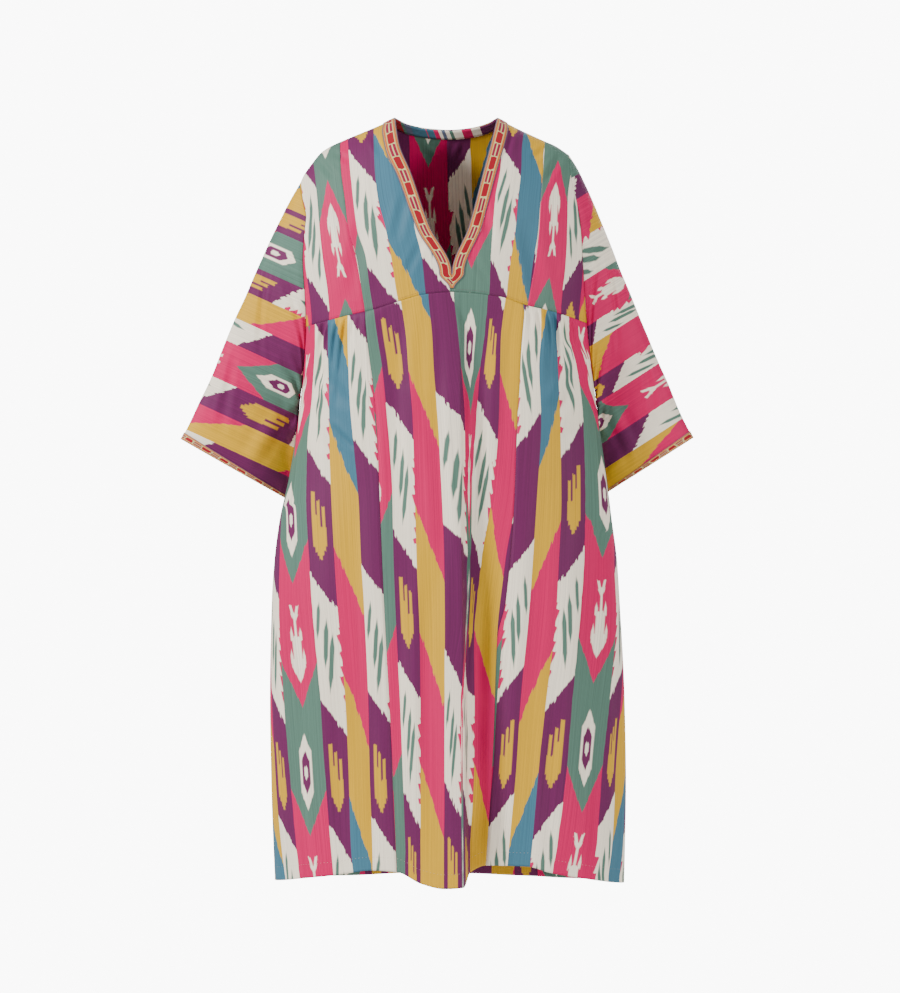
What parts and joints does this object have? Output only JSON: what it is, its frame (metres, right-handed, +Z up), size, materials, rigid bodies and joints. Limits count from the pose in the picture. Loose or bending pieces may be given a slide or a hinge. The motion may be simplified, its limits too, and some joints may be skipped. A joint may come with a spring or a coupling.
{
  "type": "caftan",
  "caption": "Ikat caftan with a V neck, gathered front skirt and wide drop-shoulder sleeves, filled out as if worn and hollow inside.",
  "frame": {"origin": "where the wearer's neck carries the caftan: level with the two high points of the shoulders, between the front and the back", "axes": "+Z up along the caftan's length, the front faces -Y, +X to the right as seen from the front"},
  "size_m": [0.7966, 0.3096, 1.1874],
  "materials": {
    "ikat_cloth": "silk and cotton ikat with a soft sheen, warp stripes in pink, plum, mustard, cream, sage and blue",
    "braid_trim": "narrow woven braid in crimson, with cream and orange edges"
  },
  "bodies": {
    "root": {"front_yoke_left": "ikat_cloth", "front_yoke_right": "ikat_cloth", "skirt_front_left": "ikat_cloth", "skirt_front_centre": "ikat_cloth", "skirt_front_right": "ikat_cloth", "back": "ikat_cloth", "back_neck_facing": "ikat_cloth", "sleeve_left": "ikat_cloth", "sleeve_right": "ikat_cloth", "neck_braid_left": "braid_trim", "neck_braid_right": "braid_trim", "neck_braid_back": "braid_trim", "cuff_braid_left": "braid_trim", "cuff_braid_right": "braid_trim"}
  },
  "joints": []
}
